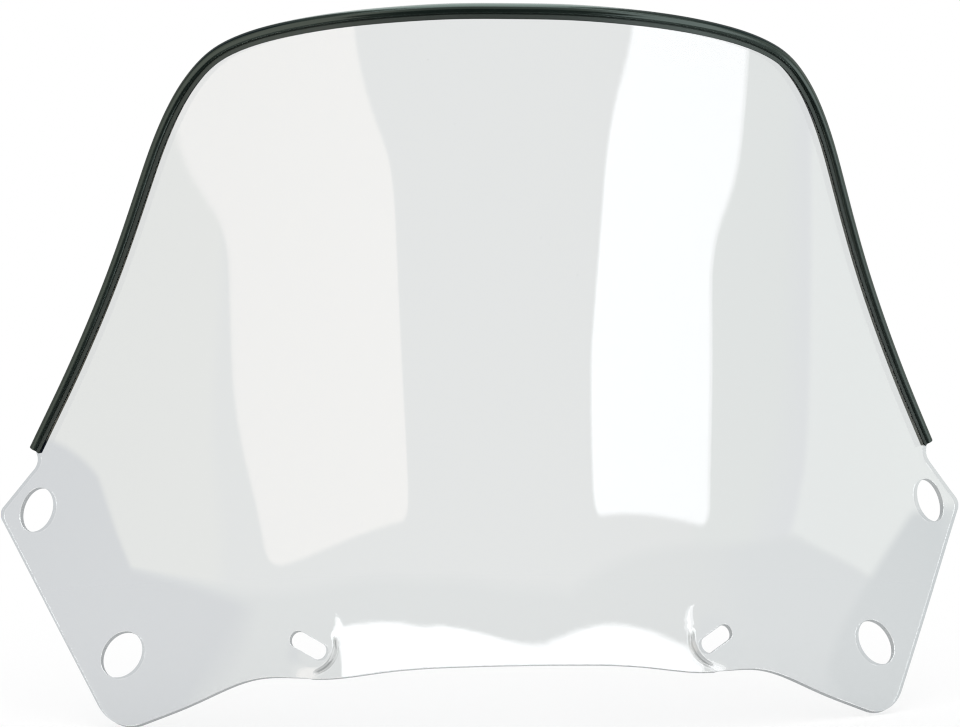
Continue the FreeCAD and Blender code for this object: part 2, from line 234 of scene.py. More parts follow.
# bottom edge to the centre line
HEM = np.array([
    (182.20, 6.81), (171.80, 11.06), (161.40, 15.76), (151.20, 20.66), (141.00, 25.11),
    (130.50, 28.11), (119.90, 29.16), (109.40, 29.11), (98.70, 29.26), (87.70, 30.41),
    (76.70, 32.11), (65.50, 33.81), (54.10, 35.01), (42.60, 35.81), (31.00, 36.21),
    (15.00, 36.56), (0.00, 36.63),
])
MIRROR = np.array([-1.0, 1.0])


def spline_through(points, start_dir=None, end_dir=None):
    """Cubic spline by chord length: a function of that length, and the total length."""
    points = np.asarray(points, float)
    steps = np.linalg.norm(np.diff(points, axis=0), axis=1)
    chord = np.concatenate([[0], np.cumsum(steps)])
    n, gap = len(points), np.diff(chord)
    slope = np.diff(points, axis=0) / gap[:, None]
    system, target = np.zeros((n, n)), np.zeros((n, points.shape[1]))
    for i in range(1, n - 1):
        system[i, i - 1:i + 2] = gap[i - 1] / 6, (gap[i - 1] + gap[i]) / 3, gap[i] / 6
        target[i] = slope[i] - slope[i - 1]
    if start_dir is None:
        system[0, :2] = 1, -1
    else:
        system[0, :2] = gap[0] / 3, gap[0] / 6
        target[0] = slope[0] - unit(np.array(start_dir, float))
    if end_dir is None:
        system[-1, -2:] = -1, 1
    else:
        system[-1, -2:] = gap[-1] / 6, gap[-1] / 3
        target[-1] = unit(np.array(end_dir, float)) - slope[-1]
    bend = np.linalg.solve(system, target)

    def at(length):
        length = np.asarray(length, float)
        i = np.clip(np.searchsorted(chord, length, side="right") - 1, 0, n - 2)
        width = gap[i][..., None]
        part = (length - chord[i])[..., None] / width
        rest = 1 - part
        curve = (rest**3 - rest) * bend[i] + (part**3 - part) * bend[i + 1]
        return rest * points[i] + part * points[i + 1] + curve * width * width / 6

    return at, chord[-1]


def corner_arc(before, tip, after, radius, count):
    to_before, to_after = unit(before - tip), unit(after - tip)
    half = math.acos(float(to_before @ to_after)) / 2
    centre = tip + unit(to_before + to_after) * (radius / math.sin(half))
    reach = radius / math.tan(half)
    first, last = [math.atan2(*(tip + way * reach - centre)[::-1])
                   for way in (to_before, to_after)]
    turn = (last - first + math.pi) % (2 * math.pi) - math.pi
    angle = first + turn * np.linspace(0, 1, count)
    return centre + radius * np.stack([np.cos(angle), np.sin(angle)], -1)


def straight(start, end, step=2.5):
    count = max(2, int(np.linalg.norm(end - start) / step))
    return start + (end - start) * np.linspace(0, 1, count)[:, None]


def drop_close(points, gap=0.15):
    keep = [points[0]]
    for point in points[1:]:
        if np.linalg.norm(point - keep[-1]) > gap:
            keep.append(point)
    if np.linalg.norm(keep[0] - keep[-1]) < gap:
        keep.pop()
    return np.array(keep)


crown_line, crown_len = spline_through(np.vstack([CROWN * MIRROR, CROWN[:-1][::-1]]))


def make_outline():
    """Closed outline, clockwise from the left side corner as seen from the front."""
    crown = crown_line(np.linspace(0, crown_len, int(crown_len / 2.0)))
    neck_line, neck_len = spline_through(NECK, (-0.10, -1.0), TIP - NECK[-1])
    hem_line, hem_len = spline_through(np.vstack([HEM, HEM[:-1][::-1] * MIRROR]),
                                       HEM[0] - FOOT, (FOOT - HEM[0]) * MIRROR)
    tip_arc = corner_arc(NECK[-1], TIP, FOOT, TIP_R, 12)
    foot_arc = corner_arc(TIP, FOOT, HEM[0], FOOT_R, 22)
    right_down = np.vstack([
        neck_line(np.linspace(0, neck_len, 22)), straight(NECK[-1], tip_arc[0]), tip_arc,
        straight(tip_arc[-1], foot_arc[0]), foot_arc, straight(foot_arc[-1], HEM[0]),
    ])
    hem = hem_line(np.linspace(0, hem_len, int(hem_len / 1.6)))
    return drop_close(np.vstack([crown, right_down, hem, (right_down * MIRROR)[::-1]]))


# ------------------------------------------------------------------ cut edges of the sheet
CHAMFER = 0.28
HOLE_R = 12.7
HOLES = ((256.85, 107.81), (204.15, 35.61))  # centres on the right side, as (x, z)

# edge rings on the outer and inner face, in-face direction that leaves the material, face normal
CutEdge = namedtuple("CutEdge", "outer inner away normal")


def ring_tangent(points):
    return unit(np.roll(points, -1, 0) - np.roll(points, 1, 0))


def outline_edge():
    x, z = make_outline().T
    outer, _ = sheet_point(x, z)
    normal = sheet_normal(x, z)
    away = unit(np.cross(normal, ring_tangent(outer)))
    return CutEdge(outer, outer - normal * THICKNESS, away, normal)


def depth_below(point):
    """Distance of each point behind the plain outer face, and the normal there."""
    x, z = point[:, 0], point[:, 2]
    for _ in range(5):
        foot, normal = face_point(x, z)
        depth = ((foot - point) * normal).sum(-1)
        x, z = point[:, 0] + depth * normal[:, 0], point[:, 2] + depth * normal[:, 2]
    return depth, normal


def drilled(centre, axis, depth_wanted, count=72):
    """Ring where a bore meets the layer at that depth, and its directions from the axis."""
    first = unit(np.cross(axis, np.array([0.0, 0.0, 1.0])))
    second = np.cross(axis, first)
    angle = np.linspace(0, 2 * math.pi, count, endpoint=False)
    spoke = np.cos(angle)[:, None] * first + np.sin(angle)[:, None] * second
    shift = np.zeros(count)
    for _ in range(8):
        depth, normal = depth_below(centre + spoke * HOLE_R + axis * shift[:, None])
        shift = shift + (depth - depth_wanted) / (normal @ axis)
    return centre + spoke * HOLE_R + axis * shift[:, None], spoke


def hole_edge(x, z):
    centre, axis = face_point(x, z)
    outer, spoke = drilled(centre, axis, 0.0)
    inner, _ = drilled(centre, axis, THICKNESS)
    return CutEdge(outer, inner, -spoke, face_point(outer[:, 0], outer[:, 2])[1])


def slot_ring(seat, end_count=22):
    """Slot outline in the plane of the seat."""
    half, radius = (SLOT_L - SLOT_W) / 2, SLOT_W / 2
    points = []
    for end in (1, -1):
        points += [(end * (half + radius * math.cos(angle)), end * radius * math.sin(angle))
                   for angle in np.linspace(-math.pi / 2, math.pi / 2, end_count)]
        points += [(end * half * part, end * radius) for part in (0.66, 0.33, 0.0, -0.33, -0.66)]
    points = np.array(points)
    centre = seat.centre - seat.along * SEAT_SHIFT
    return centre + points[:, :1] * seat.along + points[:, 1:] * seat.across


def slot_edge(seat):
    flat = slot_ring(seat)
    xz = flat[:, [0, 2]].copy()
    for _ in range(12):  # slide each point over the real face until it sits on the slot wall
        outer, _ = sheet_point(xz[:, 0], xz[:, 1])
        xz = xz + from_axis(flat - outer, seat.axis)[:, [0, 2]]
    outer, normal = sheet_point(xz[:, 0], xz[:, 1])
    away = unit(np.cross(seat.axis, ring_tangent(outer)))
    inner = outer - seat.axis * (THICKNESS / (normal @ seat.axis))[:, None]
    return CutEdge(outer, inner, away, np.repeat(seat.axis[None], len(outer), 0))


# ------------------------------------------------------------------ sheet mesh
SEED_STEP, FINE_STEP = 4.0, 2.2
# radii of the dense point rings round each seat
SEAT_RINGS = (11.4, 12.1, 12.6, 12.85, 13.1, 13.35, 13.6, 13.85, 14.1, 14.5, 15.2)
RIM_CLEARANCE = 0.75


def inside(outline, points):
    x, y = points[:, 0], points[:, 1]
    result = np.zeros(len(points), bool)
    for (x0, y0), (x1, y1) in zip(outline, np.roll(outline, -1, 0)):
        if y0 != y1:
            result ^= ((y0 > y) != (y1 > y)) & (x < (x1 - x0) * (y - y0) / (y1 - y0) + x0)
    return result


def in_sheet(rims, points):
    """Inside the outline, which is the first rim, and outside every hole and slot."""
    result = inside(rims[0], points)
    for rim in rims[1:]:
        result &= ~inside(rim, points)
    return result


def lattice(x0, x1, z0, z1, step):
    x, z = np.meshgrid(np.arange(x0, x1, step), np.arange(z0, z1, step * 0.866))
    x = x + (np.arange(x.shape[0]) % 2)[:, None] * step / 2
    return np.stack([x.ravel(), z.ravel()], -1)


def make_seeds(rims, rim_points):
    """Points in the front view that fill the sheet, finer round the seats."""
    coarse, local = lattice(-285, 285, -5, 370, SEED_STEP), []
    for seat in seats.values():
        x, _, z = seat.centre
        coarse = coarse[np.hypot(coarse[:, 0] - x, coarse[:, 1] - z) > 34]
        fine = lattice(x - 36, x + 36, z - 36, z + 36, FINE_STEP)
        flat_radius = np.hypot(fine[:, 0] - x, fine[:, 1] - z)
        offset = face_point(fine[:, 0], fine[:, 1])[0] - seat.centre
        radius = np.linalg.norm(from_axis(offset, seat.axis), axis=1)
        local.append(fine[(flat_radius < 33) & ((radius < 10.4) | (radius > 16.4))])
        for ring_r in SEAT_RINGS:
            angle = np.linspace(0, 2 * math.pi, 108, endpoint=False) + ring_r
            ring = seat.centre + ring_r * (np.cos(angle)[:, None] * seat.along
                                           + np.sin(angle)[:, None] * seat.across)
            local.append(ring[:, [0, 2]])
    seeds = np.vstack([coarse] + local)
    seeds = seeds[in_sheet(rims, seeds)]
    nearest = np.full(len(seeds), 1e9)
    for k in range(0, len(rim_points), 200):  # in batches, to spare memory
        gaps = np.linalg.norm(seeds[:, None] - rim_points[None, k:k + 200], axis=2)
        nearest = np.minimum(nearest, gaps.min(1))
    return seeds[nearest > RIM_CLEARANCE]


def triangulate(points, rims):
    edges, start = [], 0
    for rim in rims:
        count = len(rim)
        edges += [(start + i, start + (i + 1) % count) for i in range(count)]
        start += count
    found, _, triangles, sources, _, _ = delaunay_2d_cdt(
        [Vector(p) for p in points], edges, [], 0, 1e-5, True)
    if len(found) != len(points):
        raise RuntimeError("the cut edges of the sheet cross: %d points became %d"
                           % (len(points), len(found)))
    triangles = np.array([[sources[v][0] for v in triangle] for triangle in triangles])
    triangles = triangles[in_sheet(rims, points[triangles].mean(1))]
    side_1 = points[triangles[:, 1]] - points[triangles[:, 0]]
    side_2 = points[triangles[:, 2]] - points[triangles[:, 0]]
    clockwise = side_1[:, 0] * side_2[:, 1] - side_2[:, 0] * side_1[:, 1] < 0
    triangles[clockwise] = triangles[clockwise][:, ::-1]
    return triangles


def make_screen():
    cuts = [outline_edge()]
    cuts += [hole_edge(side * x, z) for x, z in HOLES for side in SIDES]
    cuts += [slot_edge(seat) for seat in seats.values()]

    # both faces stop short of the cut by the chamfer
    outer_rims = [cut.outer - cut.away * CHAMFER for cut in cuts]
    rims = [rim[:, [0, 2]] for rim in outer_rims]
    rim_points = np.vstack(rims)
    flat = np.vstack([rim_points, make_seeds(rims, rim_points)])
    triangles = triangulate(flat, rims)

    outer, base_normal = sheet_point(flat[:, 0], flat[:, 1])
    normal = sheet_normal(flat[:, 0], flat[:, 1])
    inner = outer - base_normal * THICKNESS
    outer[:len(rim_points)] = np.vstack(outer_rims)
    inner[:len(rim_points)] = np.vstack([cut.inner - cut.away * CHAMFER for cut in cuts])

    face_count = len(flat)
    blocks, count, start = [outer, inner], 2 * face_count, 0
    faces = [(t, 0, normal[t]) for t in triangles]  # corners, material slot, corner normals
    faces += [(t[::-1] + face_count, 0, -normal[t[::-1]]) for t in triangles]
    for cut in cuts:
        size = len(cut.outer)
        blocks += [cut.outer - cut.normal * CHAMFER, cut.inner + cut.normal * CHAMFER]
        wall_outer, wall_inner = count, count + size
        strips = (  # material slot, first ring, second ring, normals
            (0, start, wall_outer, unit(cut.away + cut.normal)),
            (1, wall_outer, wall_inner, cut.away),
            (0, wall_inner, start + face_count, unit(cut.away - cut.normal)),
        )
        for i in range(size):
            j = (i + 1) % size
            for slot, first, second, normals in strips:
                corners = (first + i, first + j, second + j, second + i)
                faces.append((corners, slot, normals[[i, j, j, i]]))
        count += 2 * size
        start += size
    verts = np.vstack(blocks)

    polygons, corner_normals = [], []
    for corners, _, normals in faces:
        p = verts[list(corners)]
        wound = np.cross(p[1] - p[0], p[2] - p[0]) + np.cross(p[2] - p[0], p[-1] - p[0])
        if wound @ sum(normals) < 0:  # make the winding agree with the normals
            corners, normals = corners[::-1], normals[::-1]
        polygons.append([int(v) for v in corners])
        corner_normals += [tuple(v) for v in normals]

    screen = build("screen_sheet", verts, polygons)
    mesh = screen.data
    mesh.polygons.foreach_set("material_index", [slot for _, slot, _ in faces])
    mesh.polygons.foreach_set("use_smooth", [True] * len(polygons))
    mesh.normals_split_custom_set(corner_normals)
    # how far the formed step turns away from the plain face, degrees; the clear material paints
    # shade on steep steps from this
    aligned = np.clip(np.abs((normal * base_normal).sum(-1)), 0, 1)
    step_turn = np.degrees(np.arccos(aligned))
    walls = np.zeros(len(verts) - 2 * face_count)
    add_point_attribute(screen, "step_turn", np.concatenate([step_turn, step_turn, walls]))
    return screen


# ------------------------------------------------------------------ edge moulding
# The section is drawn as (outward from the sheet edge, forward from mid-sheet).
OUTWARD = 5.0  # reach past the edge
FRONT_OVERLAP, REAR_OVERLAP = 3.1, 1.6
BEAD_R = 2.8
BEAD_AHEAD = 1.1  # bead centre forward of mid-sheet
LIP = 2.1  # mid-sheet to the outside of either lip
LIP_R = 0.38
PLAY = 0.08  # gap between sheet and lip
CHANNEL_PAST = 0.6  # channel floor past the edge
NOTCH = 1.88  # height of the groove between front lip and bead
BEAD_OUT = OUTWARD - BEAD_R
GROOVE_OUT = BEAD_OUT - math.sqrt(BEAD_R**2 - (NOTCH - BEAD_AHEAD) ** 2)
STATIONS = 401
END_R = 0.32  # rounding of the two cut ends
END_STEPS = 4


def moulding_profile():
    slot = THICKNESS / 2 + PLAY

    def lip_end(low, side):
        points = [(low + 0.12, slot), (low + 0.02, slot + 0.05), (low, slot + 0.12)]
        points += [(low + LIP_R - LIP_R * math.cos(t), LIP - LIP_R + LIP_R * math.sin(t))
                   for t in np.linspace(0.12, math.pi / 2, 7)]
        return [(out, side * ahead) for out, ahead in points]

    front_lip = lip_end(-FRONT_OVERLAP, 1) + [(-FRONT_OVERLAP + 0.8, LIP)]
    groove = [(GROOVE_OUT + out, ahead) for out, ahead in (
        (-0.9, LIP), (-0.55, LIP), (-0.45, LIP - 0.02), (-0.36, LIP - 0.06),
        (-0.16, NOTCH + 0.06), (-0.06, NOTCH + 0.01), (0.01, NOTCH))]
    first = math.atan2(NOTCH - BEAD_AHEAD, GROOVE_OUT - BEAD_OUT)
    bead = [(BEAD_OUT + BEAD_R * math.cos(t), BEAD_AHEAD + BEAD_R * math.sin(t))
            for t in np.linspace(first - 0.05, math.radians(-76), 44)]
    rear = [(2.45, -1.72), (2.15, -1.83), (1.9, -1.93), (1.65, -2.02), (1.4, -2.08),
            (1.1, -LIP), (0.2, -LIP)]
    rear_lip = lip_end(-REAR_OVERLAP, -1)[::-1]
    channel = [(-0.5, -slot), (CHANNEL_PAST - 0.15, -slot), (CHANNEL_PAST, -slot + 0.15),
               (CHANNEL_PAST, slot - 0.15), (CHANNEL_PAST - 0.15, slot),
               (-FRONT_OVERLAP / 2, slot)]
    return np.array(front_lip + groove + bead + rear + rear_lip + channel)


def make_moulding():
    """The section swept along the top edge from the left side corner to the right one."""
    profile = moulding_profile()
    size = len(profile)
    edge = ring_tangent(profile)
    profile_normal = np.stack([-edge[:, 1], edge[:, 0]], -1)

    length, step = np.linspace(0, crown_len, STATIONS), 0.02
    x, z = crown_line(length).T
    dx, dz = (crown_line(np.clip(length + step, 0, crown_len))
              - crown_line(np.clip(length - step, 0, crown_len))).T
    face, normal = face_point(x, z)
    dy = -(dx * normal[:, 0] + dz * normal[:, 2]) / normal[:, 1]
    tangent = unit(np.stack([dx, dy, dz], -1))
    outward = unit(np.cross(normal, tangent))
    origin = face - normal * (THICKNESS / 2)

    def ring_at(k, inset, shift):
        section = profile - profile_normal * inset
        return (origin[k] + tangent[k] * shift
                + section[:, :1] * outward[k] + section[:, 1:] * normal[k])

    angles = [math.pi / 2 * j / END_STEPS for j in range(END_STEPS + 1)]
    rounding = [(END_R * (1 - math.sin(t)), END_R * (1 - math.cos(t))) for t in angles]
    rings = [ring_at(0, inset, shift) for inset, shift in rounding]
    rings += [ring_at(k, 0, 0) for k in range(1, STATIONS - 1)]
    rings += [ring_at(STATIONS - 1, inset, -shift) for inset, shift in rounding[::-1]]

    faces = []
    for k in range(len(rings) - 1):
        this, following = k * size, (k + 1) * size
        for i in range(size):
            j = (i + 1) % size
            faces.append((this + i, this + j, following + j, following + i))
    last = (len(rings) - 1) * size
    faces.append(tuple(range(size))[::-1])
    faces.append(tuple(last + i for i in range(size)))
    trim = build("edge_moulding", np.vstack(rings), faces)

    bm = bmesh.new()
    bm.from_mesh(trim.data)
    bmesh.ops.triangulate(bm, faces=[f for f in bm.faces if len(f.verts) > 4])
    bmesh.ops.recalc_face_normals(bm, faces=bm.faces[:])
    bm.to_mesh(trim.data)
    bm.free()
    # the lips carry a satin skin, the bead a gloss one
    zone = np.clip((GROOVE_OUT - 0.05 - profile[:, 0]) / 0.25, 0, 1)
    add_point_attribute(trim, "lip_zone", np.tile(zone, len(rings)))
    trim.data.polygons.foreach_set("use_smooth", [True] * len(trim.data.polygons))
    trim.data.set_sharp_from_angle(angle=math.radians(42))
    return trim


screen = make_screen()
trim = make_moulding()
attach(screen, "root")
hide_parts("windshield_screen")
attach(trim, "root")
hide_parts("edge_trim")
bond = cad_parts["trim_adhesive"]


# ------------------------------------------------------------------ node helpers
class Nodes:
    """Builds a node tree. An input may be a plain value or the socket that feeds it."""

    def __init__(self, tree):
        self.tree = tree
        tree.nodes.clear()

    def add(self, kind, inputs, **settings):
        node = self.tree.nodes.new(kind)
        for key, value in settings.items():
            setattr(node, key, value)
        for key, value in inputs.items():
            if isinstance(value, bpy.types.NodeSocket):
                self.tree.links.new(value, node.inputs[key])
            else:
                node.inputs[key].default_value = value
        return node

    def shader(self, kind, **inputs):
        """Shader node; underscores in the input names stand for spaces."""
        named = {key.replace("_", " "): value for key, value in inputs.items()}
        return self.add("ShaderNode" + kind, named).outputs[0]

    def place(self):
        return self.add("ShaderNodeTexCoord", {}).outputs["Object"]

    def attribute(self, name, output="Fac"):
        return self.add("ShaderNodeAttribute", {}, attribute_name=name).outputs[output]

    def calc(self, op, a, b=0.0, c=0.0, clamp=False):
        return self.add("ShaderNodeMath", {0: a, 1: b, 2: c},
                        operation=op, use_clamp=clamp).outputs[0]

    def mix(self, fac, a, b):
        return self.add("ShaderNodeMixShader", {0: fac, 1: a, 2: b}).outputs[0]

    def mix_colour(self, fac, a, b):
        return self.add("ShaderNodeMix", {0: fac, 6: a, 7: b}, data_type="RGBA").outputs[2]

    def ramp(self, value, low, high, start=0.0, end=1.0):
        """Smooth change from start to end as the value goes from low to high."""
        return self.add("ShaderNodeMapRange", {0: value, 1: low, 2: high, 3: start, 4: end},
                        interpolation_type="SMOOTHSTEP").outputs[0]

    def noise(self, vector, scale, detail, roughness=0.5):
        return self.add("ShaderNodeTexNoise", {
            "Vector": vector, "Scale": scale, "Detail": detail,
            "Roughness": roughness}).outputs["Fac"]

    def bump(self, height, strength, distance):
        return self.add("ShaderNodeBump", {
            "Strength": strength, "Distance": distance, "Height": height}).outputs["Normal"]

    def surface(self, shader, kind="Material"):
        self.add("ShaderNodeOutput" + kind, {"Surface": shader})


def new_material(name):
    material = bpy.data.materials.new(name)
    material.use_nodes = True
    return material, Nodes(material.node_tree)


def rgb(red, green=None, blue=None):
    """Opaque colour, grey where only red is given."""
    return (red, red if green is None else green, red if blue is None else blue, 1.0)


SHEET_IOR = 1.585


# ------------------------------------------------------------------ clear polycarbonate
def clear_material():
    material, g = new_material("clear_polycarbonate")
    geometry = g.add("ShaderNodeNewGeometry", {})
    place = g.place()
    facing = g.calc("ABSOLUTE", g.add(
        "ShaderNodeVectorMath", {0: geometry.outputs["Normal"], 1: geometry.outputs["Incoming"]},
        operation="DOT_PRODUCT").outputs["Value"])
    head_on = ((SHEET_IOR - 1) / (SHEET_IOR + 1)) ** 2
    grazing = g.calc("POWER", g.calc("SUBTRACT", 1.0, facing, clamp=True), 5.0)
    fresnel = g.calc("MULTIPLY_ADD", grazing, 1 - head_on, head_on)
    # slow optical waves from forming, and a very fine orange-peel; heights in metres
    wave = g.noise(place, scale=17.0, detail=1.0, roughness=0.3)
    peel = g.noise(place, scale=160.0, detail=2.0)
    relief = g.calc("ADD", g.calc("MULTIPLY", wave, 0.00006), g.calc("MULTIPLY", peel, 0.000006))
    ripple = g.bump(relief, strength=0.55, distance=1.0)

    # hairline handling scratches: long thin cells in two directions
    def hairlines(rotation, stretch, low):
        cells = g.add("ShaderNodeMapping", {
            "Vector": place, "Rotation": rotation, "Scale": stretch}).outputs[0]
        return g.ramp(g.noise(cells, scale=1.0, detail=2.0), low=low, high=0.80)

    hairs = g.calc("ADD", hairlines((0.0, 0.5, 0.3), (14.0, 60.0, 900.0), low=0.72),
                   hairlines((0.4, -0.9, 0.0), (1100.0, 50.0, 12.0), low=0.73), clamp=True)
    smear = g.ramp(g.noise(place, scale=9.0, detail=4.0, roughness=0.6), low=0.45, high=0.75)
    # roughness 0.004 when clean, a little more in smears, most in scratches
    rough = g.calc("ADD", g.calc("MULTIPLY_ADD", smear, 0.006, 0.004),
                   g.calc("MULTIPLY", hairs, 0.05))
    # dust specks, gathered in patches
    cells = g.add("ShaderNodeTexVoronoi", {"Vector": place, "Scale": 130.0}).outputs["Distance"]
    patches = g.noise(place, scale=30.0, detail=2.0)
    dust = g.calc("MULTIPLY", g.ramp(cells, low=0.055, high=0.030),
                  g.ramp(patches, low=0.58, high=0.66))
    # path length through the sheet deepens the tint where it is seen at a slant
    sine_squared = g.calc("SUBTRACT", 1.0, g.calc("MULTIPLY", facing, facing))
    bent_squared = g.calc("DIVIDE", sine_squared, SHEET_IOR ** 2)
    slant = g.calc("DIVIDE", 1.0, g.calc("SQRT", g.calc("SUBTRACT", 1.0, bent_squared)))
    tint = [g.calc("POWER", base, slant) for base in (0.8672, 0.8764, 0.8803)]
    tint_colour = g.add("ShaderNodeCombineColor", dict(enumerate(tint))).outputs[0]
    # a steep formed step, in degrees, gets painted shade: the tint goes to a darker grey, standing
    # in for the view that the real step bends aside, so less backdrop comes through
    painted_step_shade = g.ramp(g.attribute("step_turn"), low=23.0, high=38.0)
    through = g.shader("BsdfTransparent",
                       Color=g.mix_colour(painted_step_shade, tint_colour, rgb(0.62, 0.63, 0.63)))
    shine = g.add("ShaderNodeBsdfGlossy", {
        "Color": rgb(1.0), "Roughness": rough, "Normal": ripple}, distribution="GGX").outputs[0]
    speck = g.shader("BsdfDiffuse", Color=rgb(0.62, 0.63, 0.64))
    dust_cover = g.calc("MULTIPLY", dust, 0.22)
    g.surface(g.mix(dust_cover, g.mix(fresnel, through, shine), speck))
    return material


# ------------------------------------------------------------------ routed edge of the sheet, dark grey with painted shade
def edge_material():
    material, g = new_material("routed_edge_painted_shade")
    place = g.place()
    grain = g.noise(place, scale=900.0, detail=2.0)
    patch = g.noise(place, scale=40.0, detail=3.0)
    # the dark grey tone is painted shade, standing in for the darkness that refraction inside the
    # clear sheet gives its cut wall; the patches vary it at random
    tone = g.mix_colour(g.ramp(patch, low=0.3, high=0.7),
                        rgb(0.085, 0.088, 0.095), rgb(0.17, 0.175, 0.18))
    painted_shade_wall = g.shader("BsdfPrincipled", Base_Color=tone, IOR=SHEET_IOR,
                    Roughness=g.ramp(patch, low=0.3, high=0.7, start=0.28, end=0.45),
                    Normal=g.bump(grain, strength=0.35, distance=0.00008))
    veil = g.shader("BsdfTransparent", Color=rgb(0.86, 0.88, 0.89))
    # the painted shade covers the wall 0.60 where the eye meets it in air, and 0.18 seen through
    # the sheet
    behind = g.add("ShaderNodeNewGeometry", {}).outputs["Backfacing"]
    g.surface(g.mix(g.calc("MULTIPLY_ADD", behind, -0.42, 0.60), veil, painted_shade_wall))
    return material


# ------------------------------------------------------------------ black PVC moulding
def moulding_material():
    material, g = new_material("black_pvc")
    place = g.place()
    lip = g.attribute("lip_zone")
    skin = g.noise(place, scale=420.0, detail=3.0)
    cloud = g.noise(place, scale=26.0, detail=3.0)
    scuff = g.ramp(g.noise(place, scale=75.0, detail=5.0, roughness=0.65), low=0.62, high=0.74)
    bead_tone = g.mix_colour(cloud, rgb(0.0030, 0.0055, 0.0045), rgb(0.0045, 0.0075, 0.0062))
    lip_tone = g.mix_colour(cloud, rgb(0.0105, 0.0115, 0.0115), rgb(0.0150, 0.0160, 0.0160))
    # scuffs grey the colour slightly and dull the gloss
    tone = g.mix_colour(g.calc("MULTIPLY", scuff, 0.10),
                        g.mix_colour(lip, bead_tone, lip_tone), rgb(0.10))
    bead_rough = g.ramp(cloud, low=0.3, high=0.7, start=0.13, end=0.20)
    rough = g.calc("ADD", g.calc("MULTIPLY_ADD", lip, 0.30, bead_rough),
                   g.calc("MULTIPLY", scuff, 0.10))
    # the skin is a little duller down the sides, where hands push the moulding on
    height = g.add("ShaderNodeSeparateXYZ", {0: place}).outputs["Z"]
    sides = g.ramp(height, low=0.352, high=0.300)
    rough = g.calc("ADD", rough, g.calc("MULTIPLY", sides, 0.17))
    g.surface(g.shader("BsdfPrincipled", Base_Color=tone, Roughness=rough, IOR=1.47,
                       Specular_Tint=rgb(0.80, 1.0, 0.93),
                       Normal=g.bump(skin, strength=0.25, distance=0.00006)))
    return material


# ------------------------------------------------------------------ sealant inside the moulding
def sealant_material():
    material, g = new_material("cured_sealant")
    lumps = g.noise(g.place(), scale=220.0, detail=4.0)
    tone = g.mix_colour(g.ramp(lumps, low=0.35, high=0.65), rgb(0.018), rgb(0.050, 0.050, 0.052))
    g.surface(g.shader("BsdfPrincipled", Base_Color=tone,
                       Roughness=g.ramp(lumps, low=0.3, high=0.7, start=0.45, end=0.7),
                       Normal=g.bump(lumps, strength=0.6, distance=0.0002)))
    return material


screen.data.materials.append(clear_material())
screen.data.materials.append(edge_material())
trim.data.materials.append(moulding_material())
bond.data.materials.clear()
bond.data.materials.append(sealant_material())

# ------------------------------------------------------------------ floor
FLOOR_R, FLOOR_Z = 9000, -0.4


def make_floor():
    """Pale disc that fades into plain white away from the screen."""
    floor = build("floor", [(FLOOR_R * math.cos(t), FLOOR_R * math.sin(t), FLOOR_Z)
                            for t in np.linspace(0, 2 * math.pi, 128, endpoint=False)],
                  [tuple(range(128))])
    material, g = new_material("pale_floor")
    place = g.place()
    distance = g.add("ShaderNodeVectorMath", {0: place}, operation="LENGTH").outputs["Value"]
    far = g.ramp(distance, low=0.25, high=0.75, start=0.62, end=1.0)
    tone = g.mix_colour(g.noise(place, scale=6.0, detail=2.0), rgb(0.795), rgb(0.805))
    g.surface(g.mix(far, g.shader("BsdfDiffuse", Color=tone),
                    g.shader("Emission", Color=rgb(1.0), Strength=1.0)))
    material.cycles.emission_sampling = "NONE"
    floor.data.materials.append(material)
    floor.visible_glossy = False
    floor.visible_diffuse = False
    return floor


# ------------------------------------------------------------------ studio, only in reflections
# Azimuth is measured from the viewer's side (-Y) toward +X, elevation from the horizon, degrees.
# Flat lights by their corners (azimuth, elevation); each side box runs on into its floor spill.
LEFT_BOX = [(-76, -6), (-65, -4), (-61, 22), (-24, 22), (-25, -8), (-36, -12), (-36, -60),
            (-76, -60)]
RIGHT_BOX = [(70, -6), (63, -3), (65, 17), (29, 21), (28, 5), (31, -9), (38, -11), (38, -60),
             (70, -60)]
OVERHEAD = [(-45, 28), (-19, 29.6), (11, 29.6), (42, 27), (60, 25.5), (40, 42), (-26, 42)]
DOME_R = 60000.0
# dome grid lines, denser where the reflections have detail
AZIMUTHS = np.concatenate([
    np.arange(-180, -92, 2.0), np.arange(-92, 106, 0.25), np.arange(106, 180.01, 2.0)])
ELEVATIONS = np.concatenate([
    np.arange(-90, -20, 5.0), np.arange(-20, -14, 0.5), np.arange(-14, 23, 0.25),
    np.arange(23, 31, 0.1), np.arange(31, 34, 0.5), np.arange(34, 90.01, 1.0)])


def above(value, edge, width):
    """Mask that is 1 above the edge, fading over the width."""
    return np.clip((value - edge) / width + 0.5, 0, 1)


def below(value, edge, width):
    return above(-value, -edge, width)


def rounded(corners, reach=2.5, count=6):
    """The same outline with each corner turned into a short curve."""
    points = np.array(corners, float)
    result = []
    for before, p, after in zip(np.roll(points, 1, 0), points, np.roll(points, -1, 0)):
        start, end = [p + (q - p) * min(0.4, reach / np.linalg.norm(q - p))
                      for q in (before, after)]
        for t in np.linspace(0, 1, count):
            result.append(start * (1 - t) ** 2 + 2 * p * t * (1 - t) + end * t * t)
    return np.array(result)


def panel(az, el, corners, width):
    """Soft-edged mask of a flat light given by its corners."""
    outline = rounded(corners)
    points = np.stack([az.ravel(), el.ravel()], -1)
    distance = np.full(len(points), 1e9)
    for p, q in zip(outline, np.roll(outline, -1, 0)):
        side = q - p
        t = np.clip(((points - p) @ side) / (side @ side), 0, 1)
        distance = np.minimum(distance, np.linalg.norm(points - p - t[:, None] * side, axis=1))
    distance = np.where(inside(outline, points), distance, -distance)
    return np.clip(distance / width + 0.5, 0, 1).reshape(az.shape)


